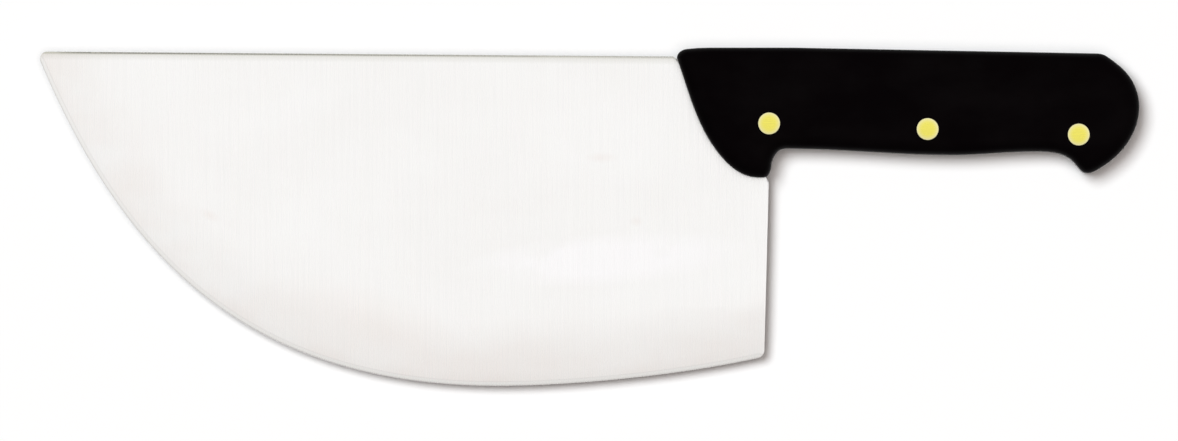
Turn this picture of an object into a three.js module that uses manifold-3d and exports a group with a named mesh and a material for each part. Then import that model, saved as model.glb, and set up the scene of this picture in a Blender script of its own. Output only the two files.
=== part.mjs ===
import * as THREE from "three";
import { mergeVertices, toCreasedNormals } from "three/addons/utils/BufferGeometryUtils.js";
import Module from "manifold-3d";

// A butcher's broad steak knife: one steel blank with a full tang, two plastic scales on the tang,
// and three two-piece brass rivets that clamp the scales. All sizes are in millimetres and degrees.
// It is drawn lying on its side, from the point where the heel meets the handle at the level of the spine:
// x runs back to the butt, y runs up past the spine, and z crosses the steel from its middle plane.

// Blade outline
const bladeLength = 240; // tip to heel
const bladeDepth = 108.2; // spine to the lowest point of the edge
const spineRise = 1.85; // the spine climbs this much on its way to the tip
const tipRound = 2.4; // radius of the blunted tip
const tipSlope = 67; // how steeply the edge falls away from the tip
const tipReach = 66; // how long the edge keeps that direction
const bellyForward = 89.2; // lowest point of the edge, forward of the heel
const bellyReachForward = 85.8; // how long the edge stays level ahead of its lowest point
const bellyReachBack = 19.4; // how long it stays level behind that point
const heelLift = 9.8; // the edge climbs this much from its lowest point to the heel
const heelSlope = 12.7; // how steeply it climbs where it reaches the heel
const heelReach = 29.7; // how long it has climbed like that
const heelLean = 1.5; // the heel runs forward as it goes down
const heelRound = 2.8; // radius of the corner between edge and heel
const spineEase = 1.4; // the spine is eased down over this length to meet the scales
const heelEase = 1.65; // the heel is eased forward over this height to meet the nose

// Blade thickness and grinding
const steelThickness = 4; // the blank, and so the tang
const tipThickness = 3; // the cheeks taper towards this at the tip
const taperStart = 6; // the taper begins this far ahead of the scales
const grindWidth = 22; // the cheeks round off to the edge over this width
const behindEdge = 0.9; // thickness behind the cutting bevel
const bevelWidth = 1.4; // cutting bevel
const edgeThickness = 0.2; // the edge itself
const steelChamfer = 0.5; // broken corners of the spine and the heel

// Handle outline
const handleTop = 3.1; // top of the handle above the spine
const gripDepth = 30.1; // underside of the grip behind the nose, below the spine
const shoulderForward = 30.1; // front of the scales, forward of the heel
const shoulderRun = 10.8; // the top eases down over this length to the front corner
const shoulderEase = 0.45; // and by this much
const shoulderLean = 8; // slope where the corner begins
const shoulderRound = 2.9; // length of the front corner
const shoulderDrop = 3.4; // height of the front corner
const frontLean = 70.5; // slope of the front below the corner
const throatForward = 13.8; // lower part of the curved front, ahead of the nose's flat
const throatRise = 9; // and above it
const throatLean = 53; // slope of the front there
const noseFlat = 1.7; // flat underside of the nose
const noseForward = 1.85; // back of that flat, forward of the heel
const noseDrop = 9.55; // depth of the nose below the grip
const noseBack = 0.8; // the nose stands this far behind the heel
const noseRound = 4.1; // height of the nose's rear corner
const noseLean = 83; // slope of the nose's rear side
const noseFillet = 4.7; // length of the hollow between nose and grip
const swellBack = 60; // palm swell, behind the heel
const swellDrop = 2.1; // depth of the palm swell below the grip
const buttBack = 121.8; // back of the butt, behind the heel
const buttDepth = 16.3; // level of the butt's furthest point, below the spine
const waistFromButt = 34.3; // narrowest place, ahead of the hook
const waistDrop = 0.95; // depth of the waist below the grip
const hookFromButt = 17.1; // tip of the hook that stops the hand
const hookDrop = 7.15; // depth of the hook below the waist
const hookInnerRun = 4.1; // middle of the hook's inner side, ahead of its tip
const hookInnerRise = 3.3; // and above it
const hookInnerLean = 51; // slope there
const hookOuterRun = 4.6; // middle of the hook's outer side, behind its tip
const hookOuterRise = 1.9; // and above it
const hookOuterLean = 31.5; // slope there
const slopeStart = 8; // the top slopes down to the butt from here
const topEndFromButt = 14.1; // where the top ends
const topEndDrop = 1.9; // it has sunk this much there
const flatStartFromButt = 10.7; // slanting flat between top and butt
const flatStartDrop = 0.95; // below the end of the top
const flatStartLean = 34; // slope there
const flatEndFromButt = 6.1;
const flatEndDrop = 4.45;
const flatEndLean = 41;

// Scales
const scaleThickness = 8;
const scaleRound = 4; // radius along the outer edges

// Rivets: a headed barrel from the left side and a headed stem driven into it from the right
const heelRivetBack = 0; // behind the heel
const heelRivetRise = 8.25; // above the underside of the grip
const middleRivetBack = 52.1; // behind the heel
const middleRivetRise = 8.5; // above the palm swell
const buttRivetFromButt = 20.05;
const buttRivetRise = 5.55; // above the waist
const rivetHead = 7.3; // diameter
const rivetHeadThickness = 1.6;
const barrelDiameter = 5;
const stemDiameter = 3.2;
const barrelShort = 1.5; // the barrel stops this far from the other head
const stemShort = 1; // and the stem this far from the bottom of the barrel
const stemLead = 0.5; // chamfer on the end of the stem
const headClearance = 0.05; // radial, head in its recess
const barrelClearance = 0.15; // radial, barrel in its holes
const stemClearance = 0.05; // radial, stem in the barrel

// Facets
const facetTurn = 8; // lines bend this much between two points
const facetLength = 4; // and curved lines have a point at least this often
const grindRows = 6;
const roundRows = 6;
const insetStep = 0.1; // the rounds of the scales are worked out in steps of this
const turnedFacets = 32;
const creaseAngle = 30; // sharper edges are shaded as edges
const past = 1; // cutting shapes run this far past what they cut

const steel = new THREE.MeshStandardMaterial({ color: 0xf5f3f1, roughness: 0.38, metalness: 0.9 });
const plastic = new THREE.MeshStandardMaterial({ color: 0x0a0809, roughness: 0.5, metalness: 0 });
const brass = new THREE.MeshStandardMaterial({ color: 0xeadf6e, roughness: 0.35, metalness: 0.9 });

const steelHalf = steelThickness / 2;
const handleHalf = steelHalf + scaleThickness;

const wasm = await Module();
wasm.setup();

// A closed geometry as a solid, without the triangles that have shrunk to nothing
function solidOf(geometry) {
  const bare = new THREE.BufferGeometry().setAttribute("position", geometry.attributes.position);
  bare.setIndex(geometry.index);
  const merged = mergeVertices(bare, 1e-4);
  const corners = Array.from(merged.index.array);
  const whole = corners.filter((_, i) => {
    const [a, b, c] = corners.slice(i - (i % 3), i - (i % 3) + 3);
    return a !== b && b !== c && c !== a;
  });
  return new wasm.Manifold(
    new wasm.Mesh({
      numProp: 3,
      vertProperties: merged.attributes.position.array,
      triVerts: new Uint32Array(whole),
    }),
  );
}

function meshOf(name, solid, material) {
  const { vertProperties, triVerts } = solid.getMesh();
  const geometry = new THREE.BufferGeometry();
  geometry.setAttribute("position", new THREE.BufferAttribute(vertProperties, 3));
  geometry.setIndex(new THREE.BufferAttribute(triVerts, 1));
  const creased = toCreasedNormals(geometry, THREE.MathUtils.degToRad(creaseAngle));
  const mesh = new THREE.Mesh(creased, material);
  mesh.name = name;
  return mesh;
}

function heading(degrees) {
  const angle = THREE.MathUtils.degToRad(degrees);
  return new THREE.Vector2(Math.cos(angle), Math.sin(angle));
}

// A cubic from one point to another that leaves and arrives with the given headings and reaches
function bow(from, startHeading, startReach, to, endHeading, endReach) {
  const leave = from.clone().addScaledVector(heading(startHeading), startReach);
  const arrive = to.clone().addScaledVector(heading(endHeading), -endReach);
  return new THREE.CubicBezierCurve(from, leave, arrive, to);
}

// Cubics through knots [x, y, heading], each as near to an arc as its two headings allow
function smoothLine(knots) {
  return knots.slice(1).map(([toX, toY, toHeading], i) => {
    const [fromX, fromY, fromHeading] = knots[i];
    const from = new THREE.Vector2(fromX, fromY);
    const to = new THREE.Vector2(toX, toY);
    const turn = THREE.MathUtils.degToRad(toHeading - fromHeading);
    const share = turn === 0 ? 1 / 3 : ((2 / 3) * Math.tan(turn / 4)) / Math.sin(turn / 2);
    const reach = from.distanceTo(to) * share;
    return bow(from, fromHeading, reach, to, toHeading, reach);
  });
}

// Points along cubics, up to but not at their end, each with the direction square to the line on its left
function pointsAlong(cubics) {
  return cubics.flatMap((cubic) => {
    const leave = cubic.v1.clone().sub(cubic.v0);
    const across = cubic.v2.clone().sub(cubic.v1);
    const arrive = cubic.v3.clone().sub(cubic.v2);
    const bend = THREE.MathUtils.radToDeg(leave.angleTo(across) + across.angleTo(arrive));
    const isStraight = bend < 1e-3;
    const most = Math.max(bend / facetTurn, cubic.getLength() / facetLength);
    const steps = isStraight ? 1 : Math.ceil(most);
    return Array.from({ length: steps }, (_, i) => {
      const along = cubic.getTangent(i / steps);
      return { point: cubic.getPoint(i / steps), left: new THREE.Vector2(-along.y, along.x) };
    });
  });
}

function arcPoints(centre, radius, start, end) {
  const steps = Math.ceil((end - start) / facetTurn);
  return Array.from({ length: steps + 1 }, (_, i) =>
    centre.clone().addScaledVector(heading(start + ((end - start) * i) / steps), radius),
  );
}

// Faces between rings of equally many points, each ring anticlockwise as seen from the next one.
// The triangles of the caps close the last ring and, turned round, the first.
function skin(rings, firstCap, lastCap) {
  const count = rings[0].length;
  const corners = [];
  for (let ring = 0; ring < rings.length - 1; ring++) {
    for (let j = 0; j < count; j++) {
      const a = ring * count + j;
      const b = ring * count + ((j + 1) % count);
      corners.push(a, b, a + count, b, b + count, a + count);
    }
  }
  const last = (rings.length - 1) * count;
  firstCap.forEach(([a, b, c]) => corners.push(a, c, b));
  lastCap.forEach(([a, b, c]) => corners.push(last + a, last + b, last + c));
  return new THREE.BufferGeometry().setFromPoints(rings.flat()).setIndex(corners);
}

// A form turned about z from a profile of [radius, z] that starts and ends on the axis
function turned(profile) {
  const points = profile.map(([radius, z]) => new THREE.Vector2(radius, z));
  return new THREE.LatheGeometry(points, turnedFacets).rotateX(Math.PI / 2);
}

// Blade outline: along the spine, round the tip, down the edge, up the heel and into the tang

const shoulderCorner = new THREE.Vector2(-shoulderForward, handleTop - shoulderEase - shoulderDrop);
const noseDepth = gripDepth + noseDrop;
const noseCorner = new THREE.Vector2(-noseForward, -noseDepth);

const heelAt = (y) => (y + noseDepth) * Math.tan(THREE.MathUtils.degToRad(heelLean));
const heelHeading = 90 - heelLean;
const heelEndY = -noseDepth - heelEase;
const heelEnd = new THREE.Vector2(heelAt(heelEndY), heelEndY);

const tipCentre = new THREE.Vector2(tipRound - bladeLength, spineRise - tipRound);
const spineEndX = -shoulderForward - spineEase;
const spineEnd = new THREE.Vector2(spineEndX, (spineRise * spineEndX) / tipCentre.x);
const tipArc = arcPoints(tipCentre, tipRound, 90, 270 - tipSlope);
const edgeStart = tipArc.at(-1);

const edgeEndSide = heading(heelSlope - 90).multiplyScalar(heelRound);
const heelStartSide = heading(heelHeading - 90).multiplyScalar(heelRound);
const edgeEndY = heelLift - bladeDepth;
const heelStartY = edgeEndY - edgeEndSide.y + heelStartSide.y;
const heelCentre = new THREE.Vector2(heelAt(heelStartY), heelStartY).sub(heelStartSide);
const heelArc = arcPoints(heelCentre, heelRound, heelSlope - 90, heelHeading - 90);
const edgeEnd = heelArc[0];

const belly = new THREE.Vector2(-bellyForward, -bladeDepth);
const edge = [
  ...pointsAlong([
    bow(edgeStart, -tipSlope, tipReach, belly, 0, bellyReachForward),
    bow(belly, 0, bellyReachBack, edgeEnd, heelSlope, heelReach),
  ]),
  { point: edgeEnd, left: heading(heelSlope + 90) },
];
const edgeInside = edge.slice(1, -1).map(({ point }) => point);
const beyond = (from, through) => new THREE.Vector2().lerpVectors(from, through, 2);
const intoNose = beyond(heelEnd, noseCorner);
const intoShoulder = beyond(spineEnd, shoulderCorner);
const bladeOutline = new THREE.Shape([
  spineEnd,
  ...tipArc,
  ...edgeInside,
  ...heelArc,
  heelEnd,
  intoNose,
  intoShoulder,
]);
const blank = new THREE.ExtrudeGeometry(bladeOutline, {
  depth: steelThickness - 2 * steelChamfer,
  bevelThickness: steelChamfer,
  bevelSize: steelChamfer,
  bevelOffset: -steelChamfer,
  bevelSegments: 1,
}).translate(0, 0, steelChamfer - steelHalf);

// Half the thickness that grinding leaves at x, at a distance from the edge: the cheeks taper to the tip,
// round off to the cutting bevel, and end in the edge
const taperX = -shoulderForward - taperStart;
const taperRate = (steelThickness - tipThickness) / 2 / (bladeLength + taperX);
function groundHalf(x, distance) {
  const cheek = steelHalf + (x - taperX) * taperRate;
  const shoulder = behindEdge / 2;
  const tip = edgeThickness / 2;
  if (distance < bevelWidth) {
    return tip + (shoulder - tip) * Math.max(0, distance / bevelWidth);
  }
  const up = Math.min(1, (distance - bevelWidth) / (grindWidth - bevelWidth));
  return shoulder + (cheek - shoulder) * Math.sin((up * Math.PI) / 2);
}

// The ground form runs past the outline on every side, through upright sections along the edge
const heelRunOut = (heelEnd.x + past - edgeEnd.x) / heading(heelSlope).x;
const stations = [
  { point: edgeStart.clone().addScaledVector(heading(-tipSlope), -tipRound), left: edge[0].left },
  ...edge,
  { point: edgeEnd.clone().addScaledVector(heading(heelSlope), heelRunOut), left: edge.at(-1).left },
];
const ceiling = spineRise + tipRound + past;
const rowWidth = (grindWidth - bevelWidth) / grindRows;
const grindDistances = Array.from({ length: grindRows + 1 }, (_, row) => bevelWidth + row * rowWidth);
const rowDistances = [-past, 0, ...grindDistances];
const sections = stations.map(({ point, left }) => {
  const room = ceiling - point.y;
  const squeeze = Math.min(1, ((room - past / 2) * left.y) / grindWidth);
  const rises = [...rowDistances.map((distance) => (distance * squeeze) / left.y), room];
  const right = rises.map(
    (rise) => new THREE.Vector3(point.x, point.y + rise, -groundHalf(point.x, rise * left.y)),
  );
  const leftSide = right.map(({ x, y, z }) => new THREE.Vector3(x, y, -z));
  return [...right, ...leftSide.reverse()];
});
const lastCorner = sections[0].length - 1;
const sectionCap = rowDistances.flatMap((_, row) => [
  [row, row + 1, lastCorner - row],
  [row + 1, lastCorner - row - 1, lastCorner - row],
]);
const groundForm = skin(sections, sectionCap, sectionCap);

// Handle outline, anticlockwise from the level part of the top

const waistX = buttBack - waistFromButt;
const waistY = -gripDepth - waistDrop;
const hookX = buttBack - hookFromButt;
const hookY = waistY - hookDrop;
const topEndX = buttBack - topEndFromButt;
const topEndY = handleTop - topEndDrop;
const topSlope = THREE.MathUtils.radToDeg(Math.atan2(topEndDrop, topEndX - slopeStart));
const handleOutline = pointsAlong(
  smoothLine([
    [slopeStart, handleTop, 180],
    [shoulderRun - shoulderForward, handleTop, 180],
    [shoulderRound - shoulderForward, handleTop - shoulderEase, 180 + shoulderLean],
    [...shoulderCorner, 360 - frontLean],
    [noseCorner.x - noseFlat - throatForward, throatRise - noseDepth, 360 - throatLean],
    [noseCorner.x - noseFlat, -noseDepth, 360],
    [...noseCorner, 360],
    [noseBack, noseRound - noseDepth, 360 + noseLean],
    [noseBack + noseFillet, -gripDepth, 360],
    [swellBack, -gripDepth - swellDrop, 360],
    [waistX, waistY, 360],
    [hookX - hookInnerRun, hookY + hookInnerRise, 360 - hookInnerLean],
    [hookX, hookY, 360],
    [hookX + hookOuterRun, hookY + hookOuterRise, 360 + hookOuterLean],
    [buttBack, -buttDepth, 450],
    [buttBack - flatEndFromButt, topEndY - flatEndDrop, 540 - flatEndLean],
    [buttBack - flatStartFromButt, topEndY - flatStartDrop, 540 - flatStartLean],
    [topEndX, topEndY, 540 - topSlope],
    [slopeStart, handleTop, 540 - topSlope],
  ]),
).map(({ point }) => point);

// Holes for the rivets

const rivetPlaces = {
  heel: [heelRivetBack, heelRivetRise - gripDepth],
  middle: [middleRivetBack, middleRivetRise - gripDepth - swellDrop],
  butt: [buttBack - buttRivetFromButt, buttRivetRise + waistY],
};
const holeRadius = barrelDiameter / 2 + barrelClearance;
const throughHole = turned([
  [0, -handleHalf - past],
  [holeRadius, -handleHalf - past],
  [holeRadius, handleHalf + past],
  [0, handleHalf + past],
]);
const recessRadius = rivetHead / 2 + headClearance;
const headSeat = handleHalf - rivetHeadThickness;
const headRecess = turned([
  [0, headSeat],
  [recessRadius, headSeat],
  [recessRadius, handleHalf + past],
  [0, handleHalf + past],
]);
function cutAtRivets(solid, cutter) {
  return Object.values(rivetPlaces).reduce(
    (rest, [x, y]) => rest.subtract(solidOf(cutter.clone().translate(x, y, 0))),
    solid,
  );
}

// Blade: the blank ground to its form, in one piece with a tang that fills the outline of the handle

const tang = new THREE.ExtrudeGeometry(new THREE.Shape(handleOutline), {
  depth: steelThickness,
  bevelEnabled: false,
}).translate(0, 0, -steelHalf);
const ground = solidOf(blank).intersect(solidOf(groundForm));
const blade = cutAtRivets(ground.add(solidOf(tang)), throughHole);

// Scale: straight sides from the tang up, then a round to the flat outer face

const sides = handleOutline.map((from, index) => {
  const to = handleOutline[(index + 1) % handleOutline.length];
  const along = to.clone().sub(from).normalize();
  return { index, from, along, inward: new THREE.Vector2(-along.y, along.x) };
});

// Where the line of one side crosses the line of the next
function crossing(before, after) {
  if (after.index === (before.index + 1) % sides.length) return after.from;
  const gap = after.from.clone().sub(before.from);
  const reach = gap.cross(after.along) / before.along.cross(after.along);
  return before.from.clone().addScaledVector(before.along, reach);
}

// The corner between two sides that have both moved inwards
function corner(before, after, inset) {
  const inward = before.inward.clone().add(after.inward);
  const mitre = inset / (1 + before.inward.dot(after.inward));
  return crossing(before, after).clone().addScaledVector(inward, mitre);
}

// The sides that are left once all have moved inwards, without those that have shrunk to nothing
function openSides(from, inset) {
  const open = from.filter((side, i) => {
    const start = corner(from.at(i - 1), side, inset);
    const end = corner(side, from[(i + 1) % from.length], inset);
    return end.sub(start).dot(side.along) > 0;
  });
  return open.length === from.length ? open : openSides(open, inset);
}

// The handle outline moved inwards: where sides have gone, their corners gather in one
function insetOutline(inset) {
  const steps = Math.ceil(inset / insetStep);
  let left = sides;
  for (let i = 1; i <= steps; i++) left = openSides(left, (inset * i) / steps);
  return handleOutline.map((_, index) => {
    const next = Math.max(0, left.findIndex((side) => side.index >= index));
    return corner(left.at(next - 1), left[next], inset);
  });
}

const raise = (points, z) => points.map(({ x, y }) => new THREE.Vector3(x, y, z));
const faceOutline = insetOutline(scaleRound);
const roundRings = Array.from({ length: roundRows + 1 }, (_, row) => {
  const angle = ((row / roundRows) * Math.PI) / 2;
  const outline = insetOutline(scaleRound * (1 - Math.cos(angle)));
  return raise(outline, handleHalf - scaleRound * (1 - Math.sin(angle)));
});
const scaleForm = skin(
  [raise(handleOutline, steelHalf), ...roundRings],
  THREE.ShapeUtils.triangulateShape(handleOutline, []),
  THREE.ShapeUtils.triangulateShape(faceOutline, []),
);
const scale = cutAtRivets(cutAtRivets(solidOf(scaleForm), throughHole), headRecess);

// Rivet halves, both headed flush with the scales

const headRadius = rivetHead / 2;
const barrelRadius = barrelDiameter / 2;
const stemRadius = stemDiameter / 2;
const boreRadius = stemRadius + stemClearance;
const barrelEnd = barrelShort - headSeat;
const stemEnd = headSeat - stemShort;
const barrel = solidOf(
  turned([
    [0, headSeat],
    [boreRadius, headSeat],
    [boreRadius, barrelEnd],
    [barrelRadius, barrelEnd],
    [barrelRadius, headSeat],
    [headRadius, headSeat],
    [headRadius, handleHalf],
    [0, handleHalf],
  ]),
);
const stem = solidOf(
  turned([
    [0, -handleHalf],
    [headRadius, -handleHalf],
    [headRadius, -headSeat],
    [stemRadius, -headSeat],
    [stemRadius, stemEnd - stemLead],
    [stemRadius - stemLead, stemEnd],
    [0, stemEnd],
  ]),
);

// The knife as assembled

const knife = new THREE.Group();
knife.add(meshOf("blade", blade, steel));
knife.add(meshOf("left_scale", scale, plastic));
const rightScale = meshOf("right_scale", scale, plastic);
rightScale.scale.z = -1;
knife.add(rightScale);
for (const [place, [x, y]] of Object.entries(rivetPlaces)) {
  const rivet = new THREE.Group();
  rivet.add(meshOf(place + "_rivet_barrel", barrel, brass));
  rivet.add(meshOf(place + "_rivet_stem", stem, brass));
  rivet.position.set(x, y, 0);
  knife.add(rivet);
}

// It lies on its right scale, centred on the origin
const extent = new THREE.Box3().setFromObject(knife);
const middle = extent.getCenter(new THREE.Vector3());
knife.position.set(-middle.x, -middle.y, -extent.min.z);

const steakKnife = new THREE.Group();
steakKnife.add(knife);

export default steakKnife;
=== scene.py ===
import bmesh
import bpy
import math
import numpy
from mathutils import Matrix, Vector
from mathutils.kdtree import KDTree


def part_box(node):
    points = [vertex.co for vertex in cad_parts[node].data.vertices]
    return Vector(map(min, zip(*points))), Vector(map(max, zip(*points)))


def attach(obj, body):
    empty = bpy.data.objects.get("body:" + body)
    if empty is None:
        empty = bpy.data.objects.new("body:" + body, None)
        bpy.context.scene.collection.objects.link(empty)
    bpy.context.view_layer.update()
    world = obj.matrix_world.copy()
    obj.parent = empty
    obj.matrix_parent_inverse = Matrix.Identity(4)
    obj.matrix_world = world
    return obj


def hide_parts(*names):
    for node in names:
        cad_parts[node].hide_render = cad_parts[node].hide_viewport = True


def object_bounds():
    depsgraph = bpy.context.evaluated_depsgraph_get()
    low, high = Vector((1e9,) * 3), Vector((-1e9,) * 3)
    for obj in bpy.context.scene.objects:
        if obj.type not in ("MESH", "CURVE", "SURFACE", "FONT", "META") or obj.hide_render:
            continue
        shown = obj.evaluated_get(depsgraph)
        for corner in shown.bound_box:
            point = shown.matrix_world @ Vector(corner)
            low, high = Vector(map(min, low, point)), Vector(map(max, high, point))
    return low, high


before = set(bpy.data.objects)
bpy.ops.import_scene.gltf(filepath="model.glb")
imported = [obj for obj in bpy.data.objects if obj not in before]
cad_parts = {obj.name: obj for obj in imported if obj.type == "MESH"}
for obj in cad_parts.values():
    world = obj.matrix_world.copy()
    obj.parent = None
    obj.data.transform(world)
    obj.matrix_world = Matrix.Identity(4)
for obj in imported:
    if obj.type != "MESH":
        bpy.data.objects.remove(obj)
cad_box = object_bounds()


# Blade and tang
# One blank of knife steel, blade and full tang in one. It is stamped out, ground thinner towards the tip
# and round to the edge on both cheeks, and left with a satin finish that runs from spine to edge.

MM = 0.001
SAME_POINT = 0.0005 * MM  # points closer than this are one
SHARP = math.radians(25)  # edges that turn more than this are corners
HEEL_NOTCH = 0.9 * MM  # gap between the heel's corner and the nose of the scales
NOTCH_FILLED = 1.1 * MM  # how far its filled part reaches forward of that
BELLY_FULL = 0.8 * MM  # the edge hangs up to this much lower at the heel than the CAD node's
BELLY_START = 5 * MM  # and starts to do so this far behind the deepest point of the belly
SPINE_CORNER = 0.5 * MM  # width of the broken corners along the spine
SPINE_KEPT = 0.75  # share of the thickness that they leave in the middle of the spine
SPINE_END = 1.2 * MM  # the spine is straight up to this far ahead of the scales
TIP_REACH = 4.8 * MM  # the front end of the spine lies this close to the tip
EDGE_LAND = 0.15 * MM  # nothing but the cutting edge lies this close to the middle plane
EDGE_STEP = 0.2 * MM  # distances from the edge are taken from points this far apart


def take_up(piece):
    """Selects one piece alone and makes it the active one."""
    bpy.ops.object.select_all(action="DESELECT")
    piece.select_set(True)
    bpy.context.view_layer.objects.active = piece


def merge_points(piece):
    """Makes one point of those that share a place."""
    take_up(piece)
    bpy.ops.object.mode_set(mode="EDIT")
    bpy.ops.mesh.select_all(action="SELECT")
    bpy.ops.mesh.remove_doubles(threshold=SAME_POINT)
    bpy.ops.object.mode_set(mode="OBJECT")


def copy_of_node(node, name):
    """A new piece with a copy of a CAD node's faces, joined along their sides."""
    piece = bpy.data.objects.new(name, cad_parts[node].data.copy())
    piece.data.materials.clear()
    bpy.context.scene.collection.objects.link(piece)
    take_up(piece)
    bpy.ops.mesh.customdata_custom_splitnormals_clear()
    merge_points(piece)
    return piece


def select_faces(piece, is_wanted):
    """In edit mode, selects the faces for which is_wanted(face) is true, and nothing else."""
    bpy.ops.mesh.select_mode(type="FACE")
    bpy.ops.mesh.select_all(action="DESELECT")
    form = bmesh.from_edit_mesh(piece.data)
    for face in form.faces:
        face.select_set(is_wanted(face))
    bmesh.update_edit_mesh(piece.data)


def note_on_points(piece, name, measure):
    """Keeps a measure of each point with the piece, for its material."""
    noted = piece.data.attributes.new(name, "FLOAT", "POINT")
    for vertex in piece.data.vertices:
        noted.data[vertex.index].value = measure(vertex.co)


def finish_piece(piece, material, node):
    """Shades a finished piece, gives it its material and puts it in the place of its CAD node."""
    take_up(piece)
    bpy.ops.object.shade_smooth_by_angle(angle=SHARP)
    flats = piece.modifiers.new("even_flats", "WEIGHTED_NORMAL")
    flats.keep_sharp = True
    bpy.ops.object.modifier_apply(modifier=flats.name)
    piece.data.materials.append(material)
    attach(piece, "root")
    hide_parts(node)


blade = copy_of_node("blade", "ground_blade")
blade_low, blade_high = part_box("blade")
middle_plane = (blade_low.z + blade_high.z) / 2
scale_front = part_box("left_scale")[0].x
nose_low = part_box("left_scale")[0].y
points = [v.co.copy() for v in blade.data.vertices]
heel_back = max(p.x for p in points if p.y < nose_low - SAME_POINT)
taper_start = min(p.x for p in points if p.z > blade_high.z - SAME_POINT)
spine_back = max((p for p in points if p.x < scale_front - SPINE_END), key=lambda p: (p.x, p.y))
spine_tip = max((p for p in points if p.x < blade_low.x + TIP_REACH), key=lambda p: p.y)
spine_run = (spine_back - spine_tip).to_2d().normalized()
spine_up = Vector((-spine_run.y, spine_run.x, 0))

# The notch between heel and nose is filled until it is as narrow as it shows on such a knife
nose_arc = [p for p in points if nose_low + SAME_POINT < p.y < nose_low + HEEL_NOTCH]
notch_end = min(nose_arc, key=lambda p: abs(p.x - heel_back + HEEL_NOTCH))


def is_filled(point):
    """True for a point of the notch that lies forward of the end it keeps."""
    is_in_notch = nose_low - SAME_POINT < point.y < notch_end.y
    return is_in_notch and 0 < notch_end.x - point.x < NOTCH_FILLED


for vertex in blade.data.vertices:
    if is_filled(vertex.co):
        cheek = blade_high.z if vertex.co.z > middle_plane else blade_low.z
        vertex.co = (notch_end.x, notch_end.y, cheek)
merge_points(blade)

# The rear half of the belly is drawn a little fuller, from the nose down to the edge
belly_start = min(points, key=lambda p: p.y).x + BELLY_START
for vertex in blade.data.vertices:
    back = (vertex.co.x - belly_start) / (heel_back - belly_start)
    down = (nose_low - vertex.co.y) / (nose_low - blade_low.y)
    if back > 0 and down > 0:
        vertex.co.y -= BELLY_FULL * back * down

# The broken corners of the spine are cut along its whole length, as deep as the taper leaves steel
take_up(blade)
bpy.ops.object.mode_set(mode="EDIT")
select_faces(blade, lambda face: all(v.co.x < taper_start + SAME_POINT for v in face.verts))
bpy.ops.mesh.bisect(plane_co=spine_back - SPINE_CORNER * spine_up, plane_no=spine_up)
form = bmesh.from_edit_mesh(blade.data)
upper_cut = [v.co for v in form.verts if v.select and v.co.z > middle_plane]
cut_places, cut_heights = zip(*sorted((p.x, p.z - middle_plane) for p in upper_cut))
for vertex in form.verts:
    depth = (spine_back - vertex.co).dot(spine_up)
    if vertex.co.x < taper_start and depth < SPINE_CORNER:
        kept = SPINE_KEPT + (1 - SPINE_KEPT) * max(0, depth / SPINE_CORNER)
        most = kept * numpy.interp(vertex.co.x, cut_places, cut_heights)
        rise = vertex.co.z - middle_plane
        vertex.co.z = middle_plane + math.copysign(min(abs(rise), most), rise)
bmesh.update_edit_mesh(blade.data)
bpy.ops.object.mode_set(mode="OBJECT")

# Each point keeps its distance from the cutting edge
edge_points = []
for line in blade.data.edges:
    start, end = (blade.data.vertices[i].co for i in line.vertices)
    if max(abs(start.z - middle_plane), abs(end.z - middle_plane)) < EDGE_LAND:
        steps = math.ceil((end - start).length / EDGE_STEP)
        edge_points += [start.lerp(end, i / steps) for i in range(steps + 1)]
cutting_edge = KDTree(len(edge_points))
for index, point in enumerate(edge_points):
    cutting_edge.insert(point, index)
cutting_edge.balance()
note_on_points(blade, "from_edge", lambda point: cutting_edge.find(point)[2])

STEEL_PALE = (0.971, 0.964, 0.952, 1)
STEEL_DULL = (0.951, 0.940, 0.925, 1)
STEEL_PAINTED_HIGHLIGHT = (0.995, 0.983, 0.985, 1)  # painted highlight, a bright band across the cheek
STEEL_STAIN_AND_SHADE = (0.91, 0.853, 0.818, 1)  # stains, and painted shade along the belly
STEEL_STONED = (0.93, 0.92, 0.90, 1)  # cutting bevel
STEEL_LINE_AND_EDGE_SHADOW = (0.42, 0.41, 0.40, 1)  # bevel's starting line, and painted shadow on the edge
STEEL_SPINE = (0.57, 0.56, 0.485, 1)  # the spine's own duller tone, partly painted shade
STEEL_HEEL_HIGHLIGHT = (1, 0.995, 0.985, 1)  # painted highlight on the heel's corner
STEEL_SIDE = (0.56, 0.55, 0.53, 1)  # sides of heel and tang
STEEL_ROUGHNESS = (0.24, 0.31)
GRIND_LINES = {"waves": (2600, 40, 40), "detail": 3, "turn": 4}
GRIND_BUMP = (0.055, 0.02 * MM)  # strength and depth
CLOUDS = {"waves": (28, 42, 40), "detail": 4}
MOTTLE = {"waves": (45, 60, 50), "detail": 5, "turn": 30}
NOISE_SPAN = (0.3, 0.7)  # most values of a noise lie between these
SLOW_CHANGE = (0.35, 0.7)  # values of a noise between which one tone turns into another
QUICK_CHANGE = (0.35, 0.5)
HIGHLIGHT_BAND = ((5 * MM, -14 * MM), (48 * MM, 9 * MM), 4)  # painted highlight's centre, half sizes, turn in degrees
HIGHLIGHT_FULL = 0.5  # share of the way in from its rim at which the painted highlight is brightest
STAINS_AND_SHADE = (  # centre, half sizes, turn in degrees; the last, large one is painted shade on the belly
    ((-125 * MM, 0.5 * MM), (4 * MM, 2 * MM), -25),
    ((4 * MM, 19.5 * MM), (6 * MM, 2 * MM), 0),
    ((15.5 * MM, -1.5 * MM), (2.5 * MM, 2 * MM), 0),
    ((-66 * MM, -38 * MM), (38 * MM, 13 * MM), -24),
)
STAIN_AND_SHADE_SHARE = 0.5  # the most that each of these takes of the tone
BELLY_PAINTED_SHADE = (26 * MM, 2 * MM)  # distances from the edge between which painted shade comes in
BELLY_SHADE_SHARE = 0.6
BEVEL_WIDTH = 1.4 * MM
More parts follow.
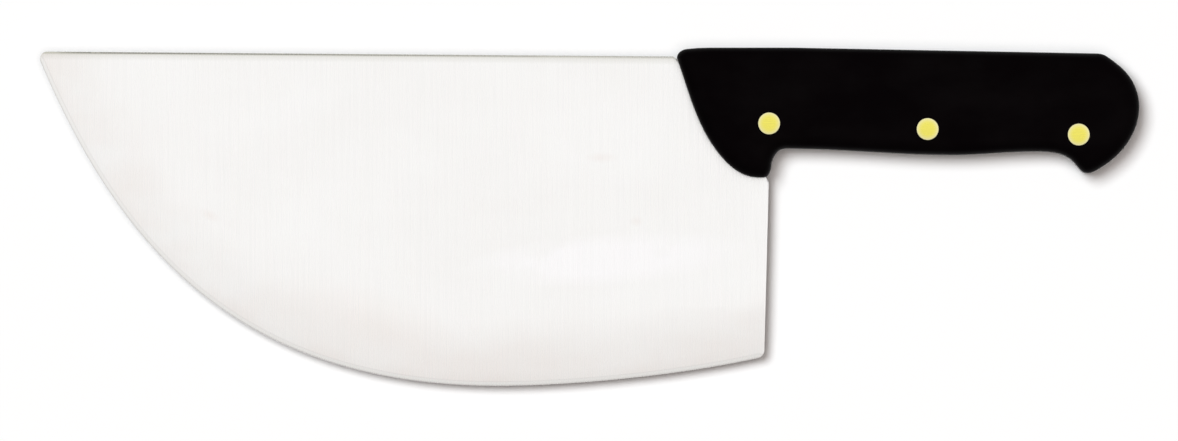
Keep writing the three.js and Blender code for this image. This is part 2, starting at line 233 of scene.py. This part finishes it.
BEVEL_LINE = 0.3 * MM  # half the width of the line where the bevel begins
BEVEL_LINE_SHARE = 0.15
EDGE_PAINTED_SHADOW = (0.48 * MM, 0.18 * MM)  # distances from the edge between which painted shadow darkens it
EDGE_SHADOW_SHARE = 0.25
SPINE_SHADE = (2.8 * MM, SPINE_CORNER)  # depths between which the cheeks darken towards the spine
SPINE_SHADE_SHARE = 0.4
SPINE_TONE = (1.0 * MM, 0.35 * MM)  # depths between which the spine's own tone comes in
SPINE_TONE_BACK = 0.5  # share of it that is left at the scales
HEEL_HIGHLIGHT_SPAN = (0.9 * MM, 0.45 * MM)  # painted highlight: distances from the heel where it comes in
SIDE_TURN = (0.6, 0.4)  # upward shares of a normal between which a cheek turns into a side


def add_node(tree, kind, sockets, **properties):
    """Adds a shader node. A socket gets a number or colour, or is linked from another node's output."""
    made = tree.nodes.new(kind)
    for name, value in properties.items():
        setattr(made, name, value)
    for name, value in sockets.items():
        if isinstance(value, bpy.types.NodeSocket):
            tree.links.new(value, made.inputs[name])
        else:
            made.inputs[name].default_value = value
    return made


def own_place(tree):
    """The place of a point on the piece, in metres."""
    return add_node(tree, "ShaderNodeTexCoord", {}).outputs["Object"]


def stretched_noise(tree, waves, detail, turn=0):
    """Noise on the piece, with so many waves to the metre along x, y and z, turned about z."""
    mapping = add_node(
        tree,
        "ShaderNodeMapping",
        {"Vector": own_place(tree), "Scale": waves, "Rotation": (0, 0, math.radians(turn))},
    )
    noise = add_node(
        tree,
        "ShaderNodeTexNoise",
        {"Vector": mapping.outputs["Vector"], "Scale": 1, "Detail": detail},
    )
    return noise.outputs["Fac"]


def spread(tree, value, low, high, to_low=0, to_high=1):
    """Carries a value from one range to another, and stops at its ends."""
    made = add_node(
        tree,
        "ShaderNodeMapRange",
        {"Value": value, "From Min": low, "From Max": high, "To Min": to_low, "To Max": to_high},
    )
    return made.outputs["Result"]


def product(tree, first, second):
    """One value times another."""
    return add_node(tree, "ShaderNodeMath", {0: first, 1: second}, operation="MULTIPLY").outputs[0]


def oval_spot(tree, centre, half_sizes, turn):
    """1 in the middle of an oval on the cheeks, 0 from its rim outwards."""
    mapping = add_node(
        tree,
        "ShaderNodeMapping",
        {
            "Vector": own_place(tree),
            "Location": (*centre, 0),
            "Rotation": (0, 0, math.radians(turn)),
            "Scale": (*half_sizes, 1),
        },
        vector_type="TEXTURE",
    )
    away = add_node(
        tree, "ShaderNodeVectorMath", {0: mapping.outputs["Vector"]}, operation="LENGTH"
    )
    return spread(tree, away.outputs["Value"], 1, 0)


def blend_colours(tree, share, first, second):
    """The first colour where the share is 0, the second where it is 1."""
    # A Mix node has sockets for every kind of value, and these are the ones for colours
    made = add_node(tree, "ShaderNodeMix", {0: share, 6: first, 7: second}, data_type="RGBA")
    return made.outputs[2]


def new_material(name):
    """A material, its node tree and its shader."""
    material = bpy.data.materials.new(name)
    material.use_nodes = True
    tree = material.node_tree
    return material, tree, tree.nodes["Principled BSDF"]


def dress(tree, shader, tone, wear, roughness, relief, bump):
    """Gives a shader its colour, a roughness that follows its wear, and a fine relief."""
    strength, depth = bump
    raised = add_node(
        tree, "ShaderNodeBump", {"Strength": strength, "Distance": depth, "Height": relief}
    )
    tree.links.new(tone, shader.inputs["Base Color"])
    tree.links.new(spread(tree, wear, *NOISE_SPAN, *roughness), shader.inputs["Roughness"])
    tree.links.new(raised.outputs["Normal"], shader.inputs["Normal"])


def satin_steel():
    """Satin steel with grind lines and stains, and painted shade and highlights."""
    material, tree, shader = new_material("satin_steel")
    grind_lines = stretched_noise(tree, **GRIND_LINES)
    mottle = stretched_noise(tree, **MOTTLE)
    clouded = spread(tree, stretched_noise(tree, **CLOUDS), *SLOW_CHANGE)
    tone = blend_colours(tree, clouded, STEEL_DULL, STEEL_PALE)
    # Painted highlight: a bright band across the cheek, broken up by the mottle
    on_highlight = spread(tree, oval_spot(tree, *HIGHLIGHT_BAND), 0, HIGHLIGHT_FULL)
    highlight = product(tree, on_highlight, spread(tree, mottle, *QUICK_CHANGE))
    tone = blend_colours(tree, highlight, tone, STEEL_PAINTED_HIGHLIGHT)

    # Stains and painted shade, the stoned bevel over them, and painted shadow on the edge
    from_edge = add_node(tree, "ShaderNodeAttribute", {}, attribute_name="from_edge").outputs["Fac"]
    # Painted shade along the belly, mottled like a stain
    belly_shade = spread(tree, from_edge, *BELLY_PAINTED_SHADE, 0, BELLY_SHADE_SHARE)
    mottled_belly_shade = product(tree, belly_shade, spread(tree, mottle, *SLOW_CHANGE))
    tone = blend_colours(tree, mottled_belly_shade, tone, STEEL_STAIN_AND_SHADE)
    # Three small stains, and a larger patch of painted shade on the belly
    for mark in STAINS_AND_SHADE:
        spot = product(tree, oval_spot(tree, *mark), STAIN_AND_SHADE_SHARE)
        tone = blend_colours(tree, spot, tone, STEEL_STAIN_AND_SHADE)
    on_bevel = spread(tree, from_edge, BEVEL_WIDTH, BEVEL_WIDTH - BEVEL_LINE)
    tone = blend_colours(tree, on_bevel, tone, STEEL_STONED)
    behind_line = spread(tree, from_edge, BEVEL_WIDTH + BEVEL_LINE, BEVEL_WIDTH, 0, BEVEL_LINE_SHARE)
    before_line = spread(tree, from_edge, BEVEL_WIDTH - BEVEL_LINE, BEVEL_WIDTH)
    tone = blend_colours(tree, product(tree, behind_line, before_line), tone, STEEL_LINE_AND_EDGE_SHADOW)
    # Painted shadow along the edge itself
    edge_shadow = spread(tree, from_edge, *EDGE_PAINTED_SHADOW, 0, EDGE_SHADOW_SHARE)
    tone = blend_colours(tree, edge_shadow, tone, STEEL_LINE_AND_EDGE_SHADOW)

    # Spine, heel and sides of the blank; painted shade on the spine, a painted highlight at the heel
    height = add_node(
        tree, "ShaderNodeVectorMath", {0: own_place(tree), 1: spine_up}, operation="DOT_PRODUCT"
    ).outputs["Value"]
    along = add_node(tree, "ShaderNodeSeparateXYZ", {"Vector": own_place(tree)}).outputs["X"]
    spine_level = spine_back.dot(spine_up)
    shade_levels = [spine_level - depth for depth in SPINE_SHADE]
    near_spine = spread(tree, height, *shade_levels, 0, SPINE_SHADE_SHARE)
    tone = blend_colours(tree, near_spine, tone, STEEL_SPINE)
    tone_levels = [spine_level - depth for depth in SPINE_TONE]
    on_spine = spread(tree, height, *tone_levels)
    # The spine's tone, partly painted shade, is darkest at the tip and fades towards the scales
    darker_at_tip = spread(tree, along, spine_tip.x, scale_front, 1, SPINE_TONE_BACK)
    tone = blend_colours(tree, product(tree, on_spine, darker_at_tip), tone, STEEL_SPINE)
    # Painted highlight on the heel's corner
    highlight_places = [heel_back - distance for distance in HEEL_HIGHLIGHT_SPAN]
    tone = blend_colours(tree, spread(tree, along, *highlight_places), tone, STEEL_HEEL_HIGHLIGHT)
    normal = add_node(tree, "ShaderNodeTexCoord", {}).outputs["Normal"]
    upward = add_node(tree, "ShaderNodeSeparateXYZ", {"Vector": normal}).outputs["Z"]
    flat = add_node(tree, "ShaderNodeMath", {0: upward}, operation="ABSOLUTE").outputs[0]
    tone = blend_colours(tree, spread(tree, flat, *SIDE_TURN), tone, STEEL_SIDE)

    dress(tree, shader, tone, grind_lines, STEEL_ROUGHNESS, grind_lines, GRIND_BUMP)
    shader.inputs["Metallic"].default_value = 1
    return material


finish_piece(blade, satin_steel(), "blade")


# Scales
# Two mirrored slabs of black moulded plastic, laid on the tang from both sides. Their outer edges are
# rounded to fit the hand, their inner corners are broken, and each has a stepped hole for every rivet.

SCALE_CORNER = 0.2 * MM  # broken corner where a scale meets the tang
PLASTIC_DARK = (0.0007, 0.0002, 0.0004, 1)
PLASTIC_RUBBED = (0.0018, 0.0012, 0.0014, 1)
PLASTIC_ROUGHNESS = (0.48, 0.36)
PLASTIC_SHEEN = 0.02
PORES = {"waves": (1500, 1500, 1500), "detail": 2}
PORE_BUMP = (0.15, 0.03 * MM)  # strength and depth
HAND_RUB = {"waves": (60, 90, 90), "detail": 4}
RUB_CHANGE = (0.4, 0.75)  # values of that noise between which the plastic turns paler


def black_plastic():
    """Moulded plastic with fine pores, rubbed a little paler and smoother in places."""
    material, tree, shader = new_material("black_plastic")
    pores = stretched_noise(tree, **PORES)
    hand_rub = stretched_noise(tree, **HAND_RUB)
    rubbed = spread(tree, hand_rub, *RUB_CHANGE)
    tone = blend_colours(tree, rubbed, PLASTIC_DARK, PLASTIC_RUBBED)
    dress(tree, shader, tone, hand_rub, PLASTIC_ROUGHNESS, pores, PORE_BUMP)
    shader.inputs["Specular IOR Level"].default_value = PLASTIC_SHEEN
    return material


def break_inner_corner(scale, seat, outwards):
    """Insets the side of a scale that lies on the tang, and draws its old rim away from the tang."""

    def is_on_seat(vertex):
        return abs(vertex.co.z - seat) < SAME_POINT

    take_up(scale)
    bpy.ops.object.mode_set(mode="EDIT")
    select_faces(scale, lambda face: all(is_on_seat(v) for v in face.verts))
    bpy.ops.mesh.inset(thickness=SCALE_CORNER)
    form = bmesh.from_edit_mesh(scale.data)
    rim = [v for v in form.verts if is_on_seat(v) and not v.select]
    bpy.ops.mesh.select_mode(type="VERT")
    bpy.ops.mesh.select_all(action="DESELECT")
    for vertex in rim:
        vertex.select_set(True)
    bmesh.update_edit_mesh(scale.data)
    bpy.ops.transform.translate(value=(0, 0, outwards * SCALE_CORNER))
    bpy.ops.object.mode_set(mode="OBJECT")


plastic = black_plastic()
for side, seat, outwards in (("left", blade_high.z, 1), ("right", blade_low.z, -1)):
    scale = copy_of_node(side + "_scale", side + "_handle_scale")
    break_inner_corner(scale, seat, outwards)
    finish_piece(scale, plastic, side + "_scale")


# Rivets
# Cutler's rivets in brass, each of two halves: a headed barrel from the left and a headed stem that is
# driven into it from the right. The heads are ground down to the scales, and pale towards their rims.

COPIED_RIVETS = ("middle", "butt")  # the heel rivet is modelled, and these are copied from it
HEAD_THICKNESS = 1.6 * MM
BARREL_RADIUS = 2.5 * MM
BORE_RADIUS = 1.65 * MM
STEM_RADIUS = 1.6 * MM
STEM_LEAD = 0.5 * MM  # chamfer on the end of the stem
RIM_ROUND = 0.12 * MM
RIM_STEPS = 4
HEAD_CROWN = 0.16 * MM  # the heads rise this much from rim to middle
CROWN_RINGS = (  # width of each ring from the rim inwards, and its share of that rise
    (0.5 * MM, 0.35),
    (0.6 * MM, 0.3),
    (0.8 * MM, 0.25),
    (1.0 * MM, 0.1),
)
ROUND_FACETS = 64
FACING = 0.9  # a flat face's normal lies at least this much along the rivet


def select_flat(half, facing, level):
    """In edit mode, selects the flat face of a rivet half that looks up (1) or down (-1) at a level."""
    select_faces(
        half,
        lambda face: face.normal.z * facing > FACING
        and abs(face.calc_center_median().z - level) < SAME_POINT,
    )


def round_rim(half, level, width, steps):
    """In edit mode, breaks the outer rim of a rivet half at a level."""
    bpy.ops.mesh.select_mode(type="EDGE")
    bpy.ops.mesh.select_all(action="DESELECT")
    form = bmesh.from_edit_mesh(half.data)
    for edge in form.edges:
        edge.select_set(all(abs(v.co.z - level) < SAME_POINT for v in edge.verts))
    bmesh.update_edit_mesh(half.data)
    bpy.ops.mesh.bevel(offset=width, segments=steps, affect="EDGES")


def draw_out(half, facing, level, radius, new_radius, new_level):
    """In edit mode, insets the flat face at a level and draws it out, or sinks it, to a new level."""
    select_flat(half, facing, level)
    bpy.ops.mesh.inset(thickness=radius - new_radius)
    bpy.ops.mesh.extrude_region_move(TRANSFORM_OT_translate={"value": (0, 0, new_level - level)})


def rivet_head(node, name, facing):
    """A crowned head that looks up (1) or down (-1), left in edit mode for its shank."""
    low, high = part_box(node)
    centre = (low + high) / 2
    crown_level = high.z if facing > 0 else low.z
    rim_level = crown_level - facing * HEAD_CROWN
    thickness = HEAD_THICKNESS - HEAD_CROWN
    bpy.ops.object.select_all(action="DESELECT")
    bpy.ops.mesh.primitive_cylinder_add(
        vertices=ROUND_FACETS,
        radius=(high.x - low.x) / 2,
        depth=thickness,
        location=(centre.x, centre.y, crown_level - facing * (HEAD_CROWN + thickness / 2)),
    )
    half = bpy.context.active_object
    half.name = name
    bpy.ops.object.transform_apply(location=True, rotation=False, scale=False)
    bpy.ops.object.mode_set(mode="EDIT")
    round_rim(half, rim_level, RIM_ROUND, RIM_STEPS)
    select_flat(half, facing, rim_level)
    for width, share in CROWN_RINGS:
        bpy.ops.mesh.inset(thickness=width, depth=share * HEAD_CROWN)
    bpy.ops.mesh.poke()
    return half


barrel_low, barrel_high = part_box("heel_rivet_barrel")
head_radius = (barrel_high.x - barrel_low.x) / 2
barrel_seat = barrel_high.z - HEAD_THICKNESS
barrel = rivet_head("heel_rivet_barrel", "heel_brass_barrel", 1)
draw_out(barrel, -1, barrel_seat, head_radius, BARREL_RADIUS, barrel_low.z)
draw_out(barrel, -1, barrel_low.z, BARREL_RADIUS, BORE_RADIUS, barrel_seat)
bpy.ops.object.mode_set(mode="OBJECT")

stem_low, stem_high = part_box("heel_rivet_stem")
stem_seat = stem_low.z + HEAD_THICKNESS
stem = rivet_head("heel_rivet_stem", "heel_brass_stem", -1)
draw_out(stem, 1, stem_seat, head_radius, STEM_RADIUS, stem_high.z)
round_rim(stem, stem_high.z, STEM_LEAD, 1)
bpy.ops.object.mode_set(mode="OBJECT")

BRASS_FACE = (0.89, 0.80, 0.145, 1)
BRASS_RIM = (0.87, 0.82, 0.50, 1)
BRASS_ROUGHNESS = (0.24, 0.34)
PALE_FROM = 1.6 * MM  # the face pales from this radius out to the rim
BELT_LINES = {"waves": (120, 2400, 200), "detail": 3}
BELT_BUMP = (0.1, 0.02 * MM)  # strength and depth


def rivet_brass():
    """Brass with fine lines along the grip, from the belt that ground the heads, and a pale rim."""
    material, tree, shader = new_material("rivet_brass")
    belt_lines = stretched_noise(tree, **BELT_LINES)
    from_axis = add_node(tree, "ShaderNodeAttribute", {}, attribute_name="from_axis").outputs["Fac"]
    outwards = spread(tree, from_axis, PALE_FROM, head_radius)
    tone = blend_colours(tree, product(tree, outwards, outwards), BRASS_FACE, BRASS_RIM)
    dress(tree, shader, tone, belt_lines, BRASS_ROUGHNESS, belt_lines, BELT_BUMP)
    shader.inputs["Metallic"].default_value = 1
    return material


brass = rivet_brass()
heel_centre = (barrel_low + barrel_high) / 2
for kind, modelled in (("barrel", barrel), ("stem", stem)):
    note_on_points(modelled, "from_axis", lambda point: (point - heel_centre).to_2d().length)
    halves = {"heel": modelled}
    for rivet in COPIED_RIVETS:
        low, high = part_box(f"{rivet}_rivet_{kind}")
        half = bpy.data.objects.new(f"{rivet}_brass_{kind}", modelled.data.copy())
        bpy.context.scene.collection.objects.link(half)
        half.location = (*((low + high) / 2 - heel_centre).to_2d(), 0)
        take_up(half)
        bpy.ops.object.transform_apply(location=True, rotation=False, scale=False)
        halves[rivet] = half
    for rivet, half in halves.items():
        finish_piece(half, brass, f"{rivet}_rivet_{kind}")


# Table
# A white table top, seen from straight above, so that only the knife's own soft shadow shows on it.
# It gives back less of the light that has bounced before, which keeps the shadow of the blade deep.

FLOOR_SIZE = 12  # metres
FLOOR_GAP = 0.05 * MM  # keeps the faces on which the knife lies clear of it
FLOOR_WHITE = (0.99, 0.99, 0.99, 1)
FLOOR_BOUNCED = (0.4, 0.38, 0.37, 1)
FLOOR_ROUGHNESS = 0.9


def white_paper():
    """A matt white that is darker for light which has bounced before."""
    material, tree, shader = new_material("white_paper")
    bounces = add_node(tree, "ShaderNodeLightPath", {}).outputs["Diffuse Depth"]
    tone = blend_colours(tree, spread(tree, bounces, 0, 1), FLOOR_WHITE, FLOOR_BOUNCED)
    tree.links.new(tone, shader.inputs["Base Color"])
    shader.inputs["Roughness"].default_value = FLOOR_ROUGHNESS
    shader.inputs["Specular IOR Level"].default_value = 0
    return material


bpy.ops.object.select_all(action="DESELECT")
bpy.ops.mesh.primitive_plane_add(size=FLOOR_SIZE, location=(0, 0, cad_box[0].z - FLOOR_GAP))
floor = bpy.context.active_object
floor.name = "white_table"
floor.data.materials.append(white_paper())


# Lamps and room
# A cool key lamp stands up and to the left, and a broader, warm one hangs overhead. Metal mirrors a white
# room that is dim by the cutting edge and low down, save at the butt. The rest gets a faint fill from it.

LAMPS = (  # name, direction from the knife, width in degrees, strength and colour
    ("key_lamp", (-0.22, 0.17, 1), 18, 2.05, (0.934, 0.979, 1)),
    ("overhead_lamp", (0, 0, 1), 28, 1.28, (1, 0.92, 0.885)),
)
ROOM_WHITE = (1, 1, 1, 1)
ROOM_EDGE_SIDE = (0.5, 0.47, 0.45, 1)
ROOM_LOW = (0.40, 0.40, 0.41, 1)
LOW_SPAN = (0.8, 0.2)  # upward shares of a direction between which the room dims
WINDOW_SPAN = (0.8, 0.3)  # and shares towards the butt from which it stays white
FILL = 0.02
FILL_COLOUR = (1, 0.93, 0.88, 1)

for name, direction, width, strength, colour in LAMPS:
    bpy.ops.object.light_add(type="SUN", location=direction)
    lamp = bpy.context.active_object
    lamp.name = name
    lamp.rotation_euler = Vector(direction).to_track_quat("Z", "Y").to_euler()
    lamp.data.energy = strength
    lamp.data.color = colour
    lamp.data.angle = math.radians(width)
    lamp.visible_glossy = False


def white_room():
    """A room that is plain white to the camera, shaded in mirrors, and faint as a light."""
    world = bpy.data.worlds.new("white_room")
    world.use_nodes = True
    world.cycles.sampling_method = "NONE"
    tree = world.node_tree
    tree.nodes.clear()
    direction = add_node(tree, "ShaderNodeTexCoord", {}).outputs["Generated"]
    apart = add_node(tree, "ShaderNodeSeparateXYZ", {"Vector": direction}).outputs
    by_edge = spread(tree, apart["Y"], 0, -1)
    upper_room = blend_colours(tree, by_edge, ROOM_WHITE, ROOM_EDGE_SIDE)
    low_down = spread(tree, apart["Z"], *LOW_SPAN)
    beside_window = spread(tree, apart["X"], *WINDOW_SPAN)
    room = blend_colours(tree, product(tree, low_down, beside_window), upper_room, ROOM_LOW)

    # What a ray meets depends on where it comes from
    seen = add_node(tree, "ShaderNodeBackground", {"Color": ROOM_WHITE, "Strength": 1})
    mirrored = add_node(tree, "ShaderNodeBackground", {"Color": room, "Strength": 1})
    fill = add_node(tree, "ShaderNodeBackground", {"Color": FILL_COLOUR, "Strength": FILL})
    path = add_node(tree, "ShaderNodeLightPath", {}).outputs
    is_mirrored = add_node(
        tree,
        "ShaderNodeMath",
        {0: path["Is Glossy Ray"], 1: path["Is Transmission Ray"]},
        operation="MAXIMUM",
    ).outputs[0]
    is_direct = spread(tree, path["Diffuse Depth"], 1, 0)
    unseen = add_node(
        tree,
        "ShaderNodeMixShader",
        {0: product(tree, is_direct, is_mirrored), 1: fill.outputs[0], 2: mirrored.outputs[0]},
    )
    whole = add_node(
        tree,
        "ShaderNodeMixShader",
        {0: path["Is Camera Ray"], 1: unseen.outputs[0], 2: seen.outputs[0]},
    )
    add_node(tree, "ShaderNodeOutputWorld", {"Surface": whole.outputs[0]})
    return world


bpy.context.scene.world = white_room()


# Camera
# It hangs high over the middle of the knife and looks straight down through a long lens, so that blade
# and scales are seen square on, with hardly any perspective.

VIEW_WIDTH = 387.88 * MM  # what the picture spans at the middle of the blade
VIEW_CENTRE = (-0.1 * MM, -1.2 * MM)
CAMERA_HEIGHT = 5  # metres over the middle of the blade

bpy.ops.object.camera_add(location=(*VIEW_CENTRE, middle_plane + CAMERA_HEIGHT), rotation=(0, 0, 0))
camera = bpy.context.active_object
camera.data.lens = camera.data.sensor_width * CAMERA_HEIGHT / VIEW_WIDTH
camera.data.clip_end = 2 * CAMERA_HEIGHT
bpy.context.scene.camera = camera
bpy.context.scene.view_settings.view_transform = "Standard"
